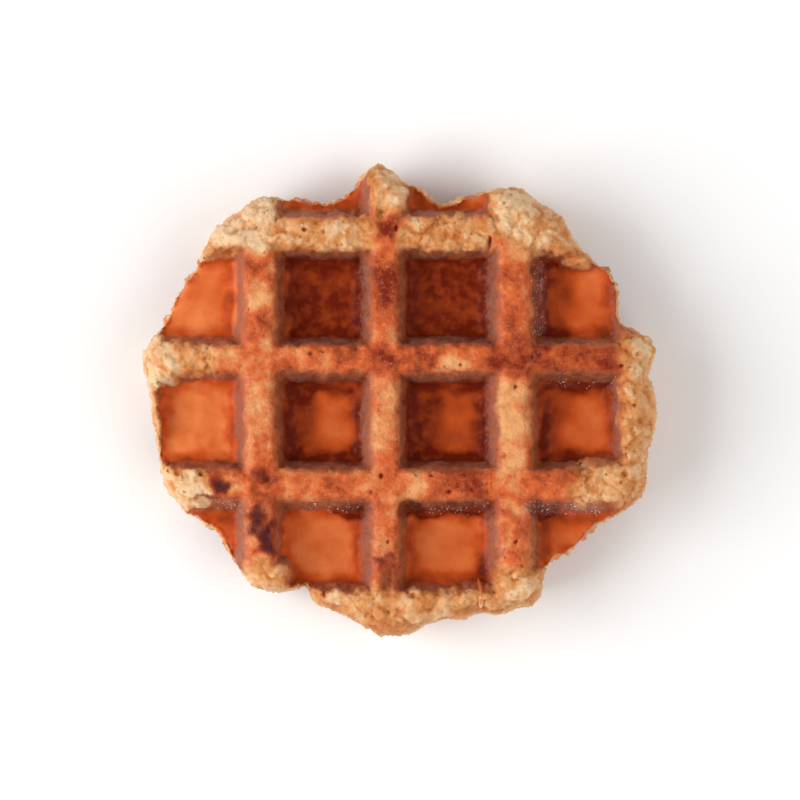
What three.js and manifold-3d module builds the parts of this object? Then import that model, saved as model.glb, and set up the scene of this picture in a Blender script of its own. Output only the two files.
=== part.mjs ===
// A Liège waffle: one thick piece of yeast dough, baked between two iron plates that press
// the same lattice of square pockets into both faces. The dough ran unevenly to the rim, so
// the outline swells at the end of every ridge and draws in beside every outer pocket.
// Millimetres, +Z up. The origin is under the middle of the outline, on the plane that the
// lower ridges stand on. The lattice lies along X and Y.

import * as THREE from "three";
import { mergeVertices } from "three/addons/utils/BufferGeometryUtils.js";
import Module from "manifold-3d";

// The plates.
const THICKNESS = 25; // between the faces of the upper and lower ridges
const PITCH = 25.7; // from ridge to ridge, along X and along Y
const FIRST_RIDGE_X = -28.6; // middle of the leftmost whole ridge that runs along Y
const FIRST_RIDGE_Y = -17.6; // middle of the lowest whole ridge that runs along X
const POCKET_DEPTH = 8.6;
const POCKET_MOUTH = 20; // across a pocket, level with the ridges
const POCKET_FLOOR = 15.2; // across a pocket, at its floor
const POCKET_SQUARENESS = 5; // 2 would be round, and more is squarer
const FLOOR_SHIFT_X = -0.4; // the walls that face +X lean a little less than those that face -X
const POCKET_COLUMNS = [-1, 0, 1, 2]; // columns and rows of pockets, counted from the first ridges
const POCKET_ROWS = [-1, 0, 1, 2];

// The outline, before the dough ran along the ridges.
const HALF_LENGTH = 51.3; // along X
const HALF_WIDTH = 45; // along Y

// How far the rim stands out (or, if negative, draws in) about a bearing, counted in degrees
// from +X towards +Y. Each swell fades over its spread, in degrees too.
const SWELLS = [
  { bearing: -3, spread: 8, reach: 2.0 }, // right side, a whole ridge's flank
  { bearing: 12, spread: 4, reach: 2.8 }, // ridge ends, from here round to the top
  { bearing: 30, spread: 7, reach: 0.9 },
  { bearing: 49, spread: 5.5, reach: 3.2 },
  { bearing: 60.5, spread: 6.5, reach: 3.9 },
  { bearing: 95.5, spread: 4.6, reach: 3.9 },
  { bearing: 125, spread: 6, reach: 3.6 },
  { bearing: 136, spread: 9, reach: 4.1 },
  { bearing: 154, spread: 5, reach: 1.4 },
  { bearing: 170, spread: 6, reach: 3.4 },
  { bearing: 200, spread: 7, reach: 1.5 },
  { bearing: 232.5, spread: 5, reach: 2.2 },
  { bearing: 268, spread: 11, reach: 3.7 }, // bottom lip
  { bearing: 286, spread: 4, reach: 1.6 },
  { bearing: 295, spread: 4, reach: 2.6 },
  { bearing: 303, spread: 5, reach: 4.3 },
  { bearing: 339, spread: 7, reach: 3.6 },
  { bearing: 20, spread: 4, reach: -2.6 }, // beside the outer pockets
  { bearing: 77.5, spread: 6.6, reach: -4.2 },
  { bearing: 109, spread: 6.5, reach: -2.6 },
  { bearing: 216, spread: 6, reach: -2.3 },
  { bearing: 243, spread: 2.5, reach: -3.2 },
  { bearing: 313, spread: 6, reach: -2.2 },
  { bearing: 327, spread: 5, reach: -1.4 },
];

// The rim's side, a rounded belly with a flat band where the two plates met.
const RIM_ROUND_IN = 7.5; // how far in from the outline the faces become flat
const RIM_ROUND_HEIGHT = 9;
const RIM_LUMP = 0.35; // lumps of dough along the side, either way
const TOP_UNEVENNESS = 0.35; // the upper ridges rise and dip by this, and the lower ones are flat
const POCKET_UNEVENNESS = 0.35; // pockets are wider or narrower than POCKET_MOUTH by this
const LOWER_PLATE_OFFSET = 40; // sets the lower pockets' unevenness apart from the upper ones'

// Fineness of the faceted solid.
const BEARINGS = 132;
const SIDE_RINGS = 12;
const FACE_RINGS = 3;
const RISING_RINGS = FACE_RINGS + 2; // the rings on the upper face and over its edge
const POCKET_SIDES = 16;
const POCKET_LEVELS = 2;
const POCKET_OVERSHOOT = 2; // a pocket's cutter runs this far past the face

const degrees = THREE.MathUtils.degToRad;

// The shortest way round from one bearing to another, in degrees.
function bearingGap(a, b) {
  return THREE.MathUtils.euclideanModulo(a - b + 180, 360) - 180;
}

// Distance from the middle to the rim.
function outlineRadius(bearing) {
  const c = Math.cos(degrees(bearing)) / HALF_LENGTH;
  const s = Math.sin(degrees(bearing)) / HALF_WIDTH;
  return SWELLS.reduce(
    (radius, swell) =>
      radius + swell.reach * Math.exp(-((bearingGap(bearing, swell.bearing) / swell.spread) ** 2)),
    1 / Math.hypot(c, s),
  );
}

// Soft waves that never repeat over the waffle, between about -1 and 1.
function unevenness(x, y) {
  return (
    Math.sin(0.21 * x + 0.6) * Math.cos(0.17 * y - 0.4) * 0.6 +
    Math.sin(0.43 * x - 0.31 * y + 1.9) * 0.4
  );
}

// Lumps round the side, in the same range.
function rimLumps(bearing, z) {
  return (
    Math.sin(degrees(bearing * 9) + 0.35 * z) * 0.5 +
    Math.sin(degrees(bearing * 17) - 0.8 * z + 1.3) * 0.5
  );
}

// The dough between the plates, before the pockets: a ball whose middle rings are laid up the
// side and whose end rings are laid across the two flat faces.
function doughBlank() {
  const ball = new THREE.SphereGeometry(1, BEARINGS, 2 * FACE_RINGS + SIDE_RINGS);
  const place = ball.getAttribute("position");
  const rings = 2 * FACE_RINGS + SIDE_RINGS;
  const columns = BEARINGS + 1;
  for (let ring = 0; ring <= rings; ring++) {
    for (let column = 0; column < columns; column++) {
      const bearing = ((column % BEARINGS) * 360) / BEARINGS;
      const [radius, z] = blankPoint(ring, rings, bearing);
      const x = radius * Math.cos(degrees(bearing));
      const y = radius * Math.sin(degrees(bearing));
      const rise = ring < RISING_RINGS ? TOP_UNEVENNESS * unevenness(x, y) : 0;
      place.setXYZ(ring * columns + column, x, y, z + rise);
    }
  }
  return ball;
}

// Radius and height of a ring of the blank at a bearing, counted from the top's middle down.
function blankPoint(ring, rings, bearing) {
  const outline = outlineRadius(bearing);
  const flat = outline - RIM_ROUND_IN;
  if (ring < FACE_RINGS) return [(flat * ring) / FACE_RINGS, THICKNESS];
  if (ring > rings - FACE_RINGS) return [(flat * (rings - ring)) / FACE_RINGS, 0];
  const turn = (Math.PI * (ring - FACE_RINGS)) / SIDE_RINGS; // 0 at the top face, pi at the bottom
  const middle = THICKNESS / 2;
  const side = Math.sign(SIDE_RINGS / 2 - (ring - FACE_RINGS)); // above or below the flat band
  const out = Math.sin(turn);
  const z = middle + Math.cos(turn) * RIM_ROUND_HEIGHT + side * (middle - RIM_ROUND_HEIGHT);
  const radius = flat + out * (RIM_ROUND_IN + RIM_LUMP * rimLumps(bearing, z));
  return [radius, z];
}

// A pocket's space: a tapered peg with rounded corners, mouth up, its floor at z = 0.
function pocketPeg(mouth, floor) {
  const height = POCKET_DEPTH + POCKET_OVERSHOOT;
  const peg = new THREE.CylinderGeometry(1, 1, height, POCKET_SIDES, POCKET_LEVELS);
  peg.rotateX(Math.PI / 2).translate(0, 0, height / 2);
  const place = peg.getAttribute("position");
  for (let i = 0; i < place.count; i++) {
    const [x, y, z] = [place.getX(i), place.getY(i), place.getZ(i)];
    if (Math.hypot(x, y) < 0.5) continue; // the middle of a cap
    const square =
      (Math.abs(x) ** POCKET_SQUARENESS + Math.abs(y) ** POCKET_SQUARENESS) **
      (-1 / POCKET_SQUARENESS);
    const half = THREE.MathUtils.lerp(floor, mouth, z / POCKET_DEPTH) / 2;
    const shift = FLOOR_SHIFT_X * (1 - z / POCKET_DEPTH);
    place.setXYZ(i, x * square * half + shift, y * square * half, z);
  }
  return peg;
}

// One pocket in its place in the lattice, in the upper or the lower face, each a little
// larger or smaller than the next.
function pocketSpace(column, row, upper) {
  const x = FIRST_RIDGE_X + (column + 0.5) * PITCH;
  const y = FIRST_RIDGE_Y + (row + 0.5) * PITCH;
  const ease = POCKET_UNEVENNESS * unevenness(x + (upper ? 0 : LOWER_PLATE_OFFSET), y);
  const peg = pocketPeg(POCKET_MOUTH + ease, POCKET_FLOOR + ease);
  if (!upper) peg.rotateX(Math.PI);
  return peg.translate(x, y, upper ? THICKNESS - POCKET_DEPTH : POCKET_DEPTH);
}

const wasm = await Module();
wasm.setup();

// A closed geometry as a manifold-3d solid.
function toSolid(geometry) {
  geometry.deleteAttribute("normal");
  geometry.deleteAttribute("uv");
  const merged = mergeVertices(geometry, 1e-4);
  return new wasm.Manifold(
    new wasm.Mesh({
      numProp: 3,
      vertProperties: merged.getAttribute("position").array,
      triVerts: new Uint32Array(merged.index.array),
    }),
  );
}

// A manifold-3d solid as a geometry.
function toGeometry(solid) {
  const mesh = solid.getMesh();
  const geometry = new THREE.BufferGeometry();
  geometry.setAttribute("position", new THREE.BufferAttribute(mesh.vertProperties, 3));
  geometry.setIndex(new THREE.BufferAttribute(mesh.triVerts, 1));
  geometry.computeVertexNormals();
  return geometry;
}

// The whole waffle: the blank with every pocket pressed into it from above and below.
function waffleGeometry() {
  let dough = toSolid(doughBlank());
  for (const column of POCKET_COLUMNS) {
    for (const row of POCKET_ROWS) {
      for (const upper of [true, false]) {
        dough = dough.subtract(toSolid(pocketSpace(column, row, upper)));
      }
    }
  }
  return toGeometry(dough);
}

const crust = new THREE.MeshStandardMaterial({
  name: "baked_crust",
  color: 0xc9783f,
  roughness: 0.55,
  metalness: 0,
});

const waffle = new THREE.Mesh(waffleGeometry(), crust);
waffle.name = "waffle";

// The middle of the waffle's length and width goes onto the Z axis.
waffle.geometry.computeBoundingBox();
const middle = waffle.geometry.boundingBox.getCenter(new THREE.Vector3());
waffle.position.set(-middle.x, -middle.y, 0);

const part = new THREE.Group();
part.add(waffle);

export default part;
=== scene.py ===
"""A Liège waffle: yeast dough baked in a deep iron, with pearl sugar that melted into caramel.

The crust is a dense blank of dough. Geometry Nodes press the iron's lattice into both faces,
then raise the crumb: folds, unevenness and small holes. Sugar crystals and nubs of crumb are
scattered over it, and a drip of caramel runs over its lip. Plans are in millimetres, and every
mesh is in metres.
"""

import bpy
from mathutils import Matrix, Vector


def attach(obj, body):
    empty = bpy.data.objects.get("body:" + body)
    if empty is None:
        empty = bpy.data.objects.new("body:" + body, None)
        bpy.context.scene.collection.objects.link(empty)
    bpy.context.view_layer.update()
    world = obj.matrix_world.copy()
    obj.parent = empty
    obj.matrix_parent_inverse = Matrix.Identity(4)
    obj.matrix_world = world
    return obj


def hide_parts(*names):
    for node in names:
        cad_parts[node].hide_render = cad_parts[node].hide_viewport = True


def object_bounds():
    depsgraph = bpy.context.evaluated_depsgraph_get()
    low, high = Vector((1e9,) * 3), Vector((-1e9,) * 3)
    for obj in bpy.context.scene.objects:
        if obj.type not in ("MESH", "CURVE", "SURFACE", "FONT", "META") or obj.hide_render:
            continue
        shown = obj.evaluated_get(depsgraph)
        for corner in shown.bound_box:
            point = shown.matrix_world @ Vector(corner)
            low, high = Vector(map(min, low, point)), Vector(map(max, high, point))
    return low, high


bl_info = {
    "name": "Liège Waffle",
    "version": (1, 0, 0),
    "blender": (4, 5, 0),
    "location": "3D Viewport > Sidebar > Waffle",
    "description": "Bakes a caramelised Liège waffle around its packed solid",
    "category": "Object",
}

import math
from collections import namedtuple

import bpy
import numpy as np
from mathutils import Vector
from mathutils.bvhtree import BVHTree
from mathutils.noise import noise as smooth_noise

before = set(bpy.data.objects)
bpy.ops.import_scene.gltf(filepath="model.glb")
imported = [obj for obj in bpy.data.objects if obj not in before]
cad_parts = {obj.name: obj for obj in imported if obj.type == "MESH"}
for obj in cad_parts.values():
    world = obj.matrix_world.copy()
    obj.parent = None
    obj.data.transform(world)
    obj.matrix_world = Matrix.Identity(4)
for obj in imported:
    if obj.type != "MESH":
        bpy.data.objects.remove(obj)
CAD_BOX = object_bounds()

SOLID = "waffle"
BODY = "root"
MM = 0.001

# The dough between the plates, in millimetres, as the solid has it.
THICKNESS = 25.0
MIDDLE = THICKNESS / 2
RIM_ROUND_IN = 7.5
RIM_ROUND_HEIGHT = 9.0
RIM_MARGIN = 0.7  # the faces' grids stop this far inside the rim, and rings go round the side
RING_STEP = 0.8  # between those rings
PROUD = 0.6  # crumb may stand so far above the solid
LEVEL = 0.01  # what lies so near to a plane lies in it

# The faces' grids, in cells and in points.
SPARE_CELLS = 2  # they start so far outside the rim
EDGE_WINDOW = 9  # their edges are evened out over so many neighbouring points

# One ridge of the iron's print, in millimetres across it: where it leaves the floor of the pocket
# on its low side, where its crest begins, where the crest ends, and its foot on the high side.
Ridge = namedtuple("Ridge", "low_foot low_crest high_crest high_foot")

RIDGES_ALONG_Y = (
    Ridge(-64.0, -60.0, -52.4, -48.6),
    Ridge(-35.2, -29.6, -28.2, -22.9),
    Ridge(-9.0, -3.8, -2.6, 2.4),
    Ridge(17.0, 22.6, 24.2, 30.2),
    Ridge(43.2, 48.2, 60.0, 64.0),
)
RIDGES_ALONG_X = (
    Ridge(-64.0, -60.0, -42.0, -36.8),
    Ridge(-24.4, -17.5, -16.6, -11.8),
    Ridge(2.6, 8.3, 9.2, 14.0),
    Ridge(28.2, 33.6, 35.4, 40.6),
)

# The lower face's print is the upper one's turned half round about the middle of the lattice.
LATTICE_MIDDLE = (-2.76, -4.73)

# A soft-edged rectangle of the waffle, in millimetres: its middle, its half sizes, how far its
# edge fades, and the value it brings.
Patch = namedtuple("Patch", "x y half_x half_y fade value")

# Where dough ran out of the lattice and stands as high as the ridges.
LOBES = (
    Patch(-33.5, 36.0, 7.0, 4.5, 4.0, 1.0),
    Patch(-2.5, 43.5, 3.4, 6.0, 3.0, 1.0),
    Patch(27.5, 36.5, 7.5, 5.0, 4.0, 1.0),
    Patch(37.5, 29.5, 3.0, 1.5, 3.5, 0.6),
    Patch(-49.0, 8.0, 3.0, 3.8, 3.0, 1.0),
    Patch(-46.5, -18.0, 4.0, 3.0, 3.0, 1.0),
    Patch(-27.6, -37.5, 3.8, 4.0, 3.0, 1.0),
    Patch(24.6, -40.0, 4.6, 4.5, 3.0, 1.0),
    Patch(45.0, -17.0, 6.0, 4.0, 3.0, 1.0),
    Patch(49.0, 9.0, 3.5, 4.0, 3.0, 1.0),
    Patch(-51.8, -4.5, 1.0, 8.0, 1.6, 0.6),
)

# Pale, crumbly dough that the plates hardly touched.
PALE = (
    Patch(-34.0, 37.0, 7.5, 5.5, 4.0, 1.0),
    Patch(-40.5, 30.5, 1.5, 2.5, 3.0, 0.9),
    Patch(-16.0, 34.4, 10.0, 2.6, 2.5, 0.75),
    Patch(9.0, 34.2, 9.0, 2.8, 2.5, 0.68),
    Patch(-2.5, 43.5, 3.0, 4.0, 3.0, 0.92),
    Patch(24.0, 39.0, 4.5, 4.5, 3.5, 0.95),
    Patch(31.0, 36.0, 6.5, 5.0, 3.5, 0.72),
    Patch(36.5, 29.5, 4.0, 1.8, 3.0, 0.6),
    Patch(49.0, 0.0, 2.6, 13.0, 2.5, 0.8),
    Patch(49.0, 10.0, 3.0, 3.0, 3.0, 0.62),
    Patch(44.0, -17.0, 7.5, 4.0, 3.5, 0.74),
    Patch(0.0, -43.5, 21.0, 4.0, 3.0, 0.6),
    Patch(25.0, -39.5, 4.5, 5.0, 3.5, 0.75),
    Patch(-27.6, -38.0, 4.2, 3.6, 3.0, 0.75),
    Patch(-45.8, -18.5, 5.4, 3.8, 2.6, 1.1),
    Patch(-50.0, 8.0, 4.0, 5.0, 3.0, 1.0),
    Patch(-43.0, 8.5, 4.5, 2.5, 3.0, 0.62),
    Patch(-51.4, -4.5, 1.3, 8.0, 1.8, 0.85),
)

# How far the sugar on the pockets' floors went, from 0, bright orange, to 1, dark caramel.
# Each patch paints over the ones before it.
TONES = (
    Patch(-15.8, 21.0, 8.0, 8.0, 3.2, 0.98),
    Patch(10.0, 21.0, 8.5, 8.0, 3.2, 1.0),
    Patch(33.0, 21.0, 3.6, 8.0, 3.2, 0.75),
    Patch(41.0, 19.0, 4.2, 6.0, 3.6, 0.38),
    Patch(-42.0, 20.5, 6.5, 9.0, 3.2, 0.17),
    Patch(-41.8, 23.6, 2.4, 2.0, 2.6, 0.42),
    Patch(-36.8, 20.0, 0.8, 5.0, 2.4, 0.45),
    Patch(-42.0, -4.5, 6.5, 7.5, 3.2, 0.16),
    Patch(-16.0, -4.5, 7.8, 8.0, 3.2, 0.9),
    Patch(-13.0, -4.2, 3.6, 4.4, 3.6, 0.4),
    Patch(9.5, -4.5, 8.0, 8.0, 3.2, 0.95),
    Patch(12.8, -4.5, 2.6, 6.0, 4.0, 0.6),
    Patch(37.0, -4.5, 7.5, 8.0, 3.2, 0.75),
    Patch(39.6, -5.0, 4.4, 5.4, 3.6, 0.42),
    Patch(-16.0, -30.5, 7.5, 6.5, 3.2, 0.25),
    Patch(9.5, -30.5, 7.5, 6.5, 3.2, 0.3),
    Patch(17.0, -34.5, 1.0, 2.5, 1.5, 0.7),
    Patch(36.0, -29.0, 7.0, 5.0, 3.2, 0.45),
    Patch(-16.0, 41.5, 8.0, 2.5, 3.2, 0.3),
    Patch(9.5, 41.5, 8.0, 3.0, 3.2, 0.4),
    Patch(10.0, -22.6, 22.0, 1.0, 1.4, 1.35),
    Patch(-33.2, 21.0, 1.0, 8.0, 1.2, -0.1),
    Patch(-24.0, 21.0, 0.9, 7.0, 1.2, 0.5),
    Patch(29.0, 21.0, 0.8, 8.0, 1.2, 1.25),
)
TONE_ELSEWHERE = 0.4

# How brown the ridges baked, from 0, golden, to 1, dark brown.
BAKES = (
    Patch(-28.5, 16.7, 1.6, 2.2, 2.4, 0.85),
    Patch(-29.0, 27.3, 1.6, 1.8, 2.4, 0.75),
    Patch(-28.6, 21.8, 1.6, 1.4, 2.4, 0.15),
    Patch(-28.6, -4.0, 2.0, 7.0, 3.0, 0.3),
    Patch(-3.1, 35.3, 2.4, 1.4, 2.6, 0.8),
    Patch(-3.2, 21.5, 2.0, 7.0, 3.0, 0.85),
    Patch(-3.0, -1.0, 2.0, 6.0, 3.0, 0.2),
    Patch(23.0, -5.0, 2.6, 8.5, 3.0, 0.17),
    Patch(5.0, -17.6, 3.0, 1.8, 2.4, 0.15),
    Patch(-3.0, -26.0, 2.2, 4.5, 3.0, 0.5),
    Patch(23.5, 22.0, 2.2, 7.0, 3.0, 0.6),
    Patch(22.5, 9.0, 4.0, 2.5, 3.0, 0.85),
    Patch(36.5, 8.5, 9.0, 2.2, 3.0, 0.8),
    Patch(-16.0, 8.2, 8.5, 2.2, 3.0, 0.5),
    Patch(-3.0, 8.2, 3.0, 2.5, 3.0, 0.75),
    Patch(9.5, 8.2, 7.5, 2.2, 3.0, 0.6),
    Patch(5.2, 8.2, 1.4, 1.6, 1.8, 0.75),
    Patch(10.6, 8.0, 1.8, 1.4, 1.8, 0.2),
    Patch(-16.0, -17.6, 8.5, 2.2, 3.0, 0.5),
    Patch(11.0, -17.6, 5.0, 2.2, 3.0, 0.76),
    Patch(-28.6, -17.6, 3.0, 2.5, 3.0, 0.65),
    Patch(32.0, -17.6, 6.0, 2.2, 3.0, 0.5),
)
BAKE_ELSEWHERE = 0.42

# The edges of those patches stray by so much, over such a length. Each field's noise lies apart.
STRAY = 2.0
STRAY_SIZE = 3.5
NOISE_STEP = (31.7, 17.3, 0.0)

# The side is pale crumb. It begins between these two insets.
SIDE_INSETS = (0.9, 0.1)
SIDE_PALENESS = 0.75

# Nubs stand on dough that is this pale, and clear of what the waffle rests on.
NUB_PALENESS = (0.4, 0.9)
NUB_HEIGHTS = (1.5, 3.0)

# Burnt sugar and burnt crust, on the upper face only.
SCORCHES = (
    Patch(-37.0, -18.0, 1.6, 1.3, 1.8, 1.0),
    Patch(-39.4, -20.4, 2.0, 0.3, 1.5, 0.85),
    Patch(-29.4, -25.0, 1.3, 3.0, 2.0, 0.9),
    Patch(-27.6, -28.4, 1.8, 2.8, 2.0, 1.0),
    Patch(-28.6, -21.0, 1.8, 2.2, 2.2, 0.4),
    Patch(-28.9, -14.8, 1.3, 0.6, 1.6, 0.75),
    Patch(-3.6, -32.4, 1.6, 0.4, 1.4, 0.7),
    Patch(-2.2, -34.4, 1.6, 0.5, 1.6, 0.45),
)

# Where the sugar's crystals still show.
SUGARS = (
    Patch(28.8, 21.5, 0.8, 8.0, 1.0, 1.0),
    Patch(33.0, -22.5, 8.0, 1.0, 1.2, 1.0),
    Patch(11.5, -22.8, 6.0, 0.8, 1.2, 0.5),
    Patch(-14.5, -22.6, 6.5, 0.8, 1.2, 0.6),
    Patch(-34.8, -21.8, 2.6, 1.2, 1.2, 0.8),
    Patch(37.5, 3.6, 7.0, 0.7, 1.0, 0.6),
)

# Deep pits, a crack and a hollow in the ridges of the upper face.
PITS = (
    Patch(-27.3, -16.2, 0.3, 0.3, 0.9, 1.0),
    Patch(10.2, -19.0, 0.35, 0.2, 0.7, 1.0),
    Patch(-41.2, -15.2, 0.3, 0.2, 0.6, 0.9),
    Patch(18.4, 32.4, 0.1, 1.2, 0.5, 0.9),
    Patch(-2.3, -37.2, 1.5, 2.0, 1.9, 0.75),
)

# A drip of caramel that ran over the lip: places along it, and its radius there.
DRIP = (
    (16.3, -37.2, 0.25),
    (16.5, -38.2, 0.6),
    (16.6, -39.6, 0.4),
    (16.8, -41.0, 0.5),
    (16.7, -42.2, 0.7),
    (16.7, -43.0, 0.15),
)


def linear(code):
    """An sRGB hex colour as linear red, green and blue."""
    parts = [int(code[i : i + 2], 16) / 255 for i in (1, 3, 5)]
    return tuple(p / 12.92 if p <= 0.04045 else ((p + 0.055) / 1.055) ** 2.4 for p in parts)


def smoothstep(low, high, value):
    """0 below low, 1 above high, and a soft S between."""
    t = np.clip((value - low) / (high - low), 0, 1)
    return t * t * (3 - 2 * t)


# ---------------------------------------------------------------------------------------------
# The sizes and colours that a user would change.
# ---------------------------------------------------------------------------------------------


def length(name, description, millimetres):
    """A property that holds a length."""
    return bpy.props.FloatProperty(
        name=name, description=description, default=millimetres * MM, unit="LENGTH", precision=5
    )


def tint(name, description, code):
    """A property that holds a colour, as it looks in white light."""
    return bpy.props.FloatVectorProperty(
        name=name, description=description, default=linear(code), subtype="COLOR"
    )


class WaffleDough(bpy.types.PropertyGroup):
    """Sizes of the dough and of the relief of its crust."""

    cell: length("Cell", "Spacing of the crust's mesh before it is thinned", 0.34)
    triangles: bpy.props.IntProperty(
        name="Triangles", description="How many triangles the crust keeps", default=195000
    )
    web: length("Web", "Dough between two pockets' floors", 7.8)
    wander: length("Wander", "How far ridges stray sideways", 1.7)
    wander_width: length("Wander width", "Length over which they stray", 9.0)
    waver: length("Waver", "How far they stray over a short length", 1.3)
    ragged: length("Ragged", "How far pale edges stray on top of that", 4.2)
    sag: length("Sag", "How far the ridges dip along their length", 1.4)
    dip: length("Dip", "How far pale dough stays short of the iron", 0.9)
    # Reach also sets how far the floor's browning and painted shade spread from a wall's foot.
    reach: length("Reach", "How far a wall's browning spreads over the floor", 3.2)
    softness: length("Softness", "Rounding where a pocket meets the side", 1.2)
    fold: length("Fold", "Height of the folds of pale dough", 2.0)
    fold_width: length("Fold width", "Width of the broadest folds", 5.2)
    blister: length("Blister", "Height of the unevenness of the crust", 1.8)
    blister_width: length("Blister width", "Width of that unevenness", 2.8)
    hole: length("Hole", "Depth of the small holes", 1.5)
    hole_spacing: length("Hole spacing", "Distance between two small holes", 3.6)


class WaffleGrains(bpy.types.PropertyGroup):
    """Sizes of the sugar's crystals and of the nubs of crumb."""

    crystal: length("Crystal", "Width of the largest sugar crystals", 0.55)
    crystal_spacing: length("Crystal spacing", "Distance between crystals where they are thickest", 0.65)
    nub: length("Nub", "Width of the largest nubs of crumb", 1.2)
    nub_spacing: length("Nub spacing", "Distance between nubs where they are thickest", 7.0)
    seed: bpy.props.IntProperty(name="Seed", description="Which grains lie where", default=3)


class WaffleColours(bpy.types.PropertyGroup):
    """Colours of the waffle, as they look in white light."""

    floor_bright: tint("Bright floor", "Melted sugar that has just coloured", "#f08a4c")
    floor_middle: tint("Middling floor", "Melted sugar half way", "#cf5720")
    floor_dark: tint("Dark floor", "Dark caramel", "#6e1b03")
    fleck: tint("Fleck", "Clear spots in the dark caramel", "#c9541c")
    # A wall runs from bright to dark with its baking, and towards its foot with painted shade.
    wall_bright: tint("Bright wall", "A pocket's wall where it baked least", "#b0603a")
    wall_dark: tint("Dark wall", "A pocket's wall where it baked most", "#60200a")
    crust_pale: tint("Pale crust", "A ridge that has just taken colour", "#e6a46a")
    crust_middle: tint("Middling crust", "A ridge half way", "#d46534")
    crust_dark: tint("Dark crust", "A ridge that baked most", "#7e2410")
    # Crumb's colours: deep in the folds the darker ones stand for painted shade.
    crumb_pale: tint("Pale crumb", "The palest dough", "#e9c398")
    crumb_middle: tint("Middling crumb", "Dough in the folds", "#d89358")
    crumb_dark: tint("Dark crumb", "Dough deep in the folds", "#b0531f")
    # Painted shade inside the small holes and pores.
    hollow: tint("Hollow", "The inside of a small hole", "#7a3618")
    # Sugar that crystallised again, partly a painted highlight of its wet glints; the same colour paints
    # the sheen on the walls that face -X.
    frost: tint("Frost", "Sugar that crystallised again", "#a8756a")
    # Pale specks of fine sugar on the ridges, painted as the highlights of its glints.
    glint: tint("Glint", "Fine grains of sugar on the ridges", "#f0b898")
    scorch: tint("Scorch", "Burnt sugar", "#561f1c")
    singe: tint("Singe", "Crust round burnt sugar", "#93391f")


class WaffleStage(bpy.types.PropertyGroup):
    """The floor, the lights and the camera."""

    lens: bpy.props.FloatProperty(name="Lens", description="Focal length in millimetres", default=200.0)
    width: length("Width", "Width of the view across the waffle's middle", 167.0)
    key: bpy.props.FloatProperty(
        name="Key light", description="Power of the softbox on the left", default=27.0, unit="POWER"
    )
    fill: bpy.props.FloatProperty(
        name="Fill light", description="Power of the softbox on the right", default=17.0, unit="POWER"
    )
    walls: bpy.props.FloatProperty(
        name="Walls", description="Brightness of the studio's walls", default=0.58
    )
    ceiling: bpy.props.FloatProperty(
        name="Ceiling", description="Brightness of its ceiling", default=0.38
    )


# ---------------------------------------------------------------------------------------------
# The blank of dough, before the iron closes.
# ---------------------------------------------------------------------------------------------


class Rim:
    """The outline of the waffle, read off the widest ring of its solid."""

    def __init__(self):
        points = np.array([v.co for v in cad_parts[SOLID].data.vertices]) / MM
        ring = points[np.abs(points[:, 2] - MIDDLE) < LEVEL]
        bearing = np.arctan2(ring[:, 1], ring[:, 0])
        order = np.argsort(bearing)
        self.bearing = bearing[order]
        self.reach = np.hypot(ring[:, 0], ring[:, 1])[order]

    def radius(self, bearing):
        """Distance from the middle to the rim."""
        return np.interp(bearing, self.bearing, self.reach, period=2 * math.pi)

    def inset(self, x, y):
        """How far inside the rim a point lies."""
        return self.radius(np.arctan2(y, x)) - np.hypot(x, y)

    def place(self, bearing, inset):
        """The point that far inside the rim, as x and y."""
        radius = self.radius(bearing) - inset
        return radius * np.cos(bearing), radius * np.sin(bearing)


def face_grid(rim, cell):
    """A grid over the face, as plan points, quads, and the point numbers of its edge in order."""
    half = int(max(rim.reach) / cell) + SPARE_CELLS
    steps = np.arange(-half, half + 1) * cell
    x, y = np.meshgrid(steps, steps, indexing="ij")
    inside = rim.inset(x, y) > RIM_MARGIN
    full = inside[:-1, :-1] & inside[1:, :-1] & inside[1:, 1:] & inside[:-1, 1:]
    number = np.arange(x.size).reshape(x.shape)
    quads = np.stack([number[:-1, :-1], number[1:, :-1], number[1:, 1:], number[:-1, 1:]], -1)[full]
    used, quads = np.unique(quads, return_inverse=True)
    quads = quads.reshape(-1, 4)
    points = np.stack([x.ravel()[used], y.ravel()[used]], -1)
    edge = edge_loop(quads)
    points[edge] = even_edge(rim, points[edge])
    relax(points, quads, edge)
    return points, quads, edge


def edge_loop(quads):
    """The points round the edge of a sheet of quads, counter-clockwise."""
    sides = np.concatenate([quads[:, [i, (i + 1) % 4]] for i in range(4)])
    known = {tuple(side) for side in sides.tolist()}
    following = {a: b for a, b in known if (b, a) not in known}
    loop = [min(following)]
    while (point := following[loop[-1]]) != loop[0]:
        loop.append(point)
    if len(loop) != len(following):
        raise RuntimeError("the face's grid has more than one edge: change its cell size")
    return np.array(loop)


def even_edge(rim, points):
    """The stepped edge of a grid, laid evenly along the rim."""
    bearing = np.unwrap(np.arctan2(points[:, 1], points[:, 0]))
    turn = 2 * math.pi * np.arange(len(bearing)) / len(bearing)
    drift = bearing - turn
    window = np.hanning(EDGE_WINDOW)
    window /= window.sum()
    half = EDGE_WINDOW // 2
    around = np.concatenate([drift[-half:], drift, drift[:half]])
    bearing = turn + np.convolve(around, window, mode="valid")
    return np.stack(rim.place(bearing, RIM_MARGIN), -1)


def relax(points, quads, edge, rounds=30):
    """Evens out the grid behind its edge, which stays where it is."""
    pairs = np.concatenate([quads[:, [i, (i + 1) % 4]] for i in range(4)])
    start, end = np.concatenate([pairs, pairs[:, ::-1]]).T
    count = np.bincount(start, minlength=len(points))
    fixed = np.zeros(len(points), bool)
    fixed[edge] = True
    for _ in range(rounds):
        total = np.stack([np.bincount(start, points[end, i], len(points)) for i in (0, 1)], -1)
        points[~fixed] = (total / count[:, None])[~fixed]


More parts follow.
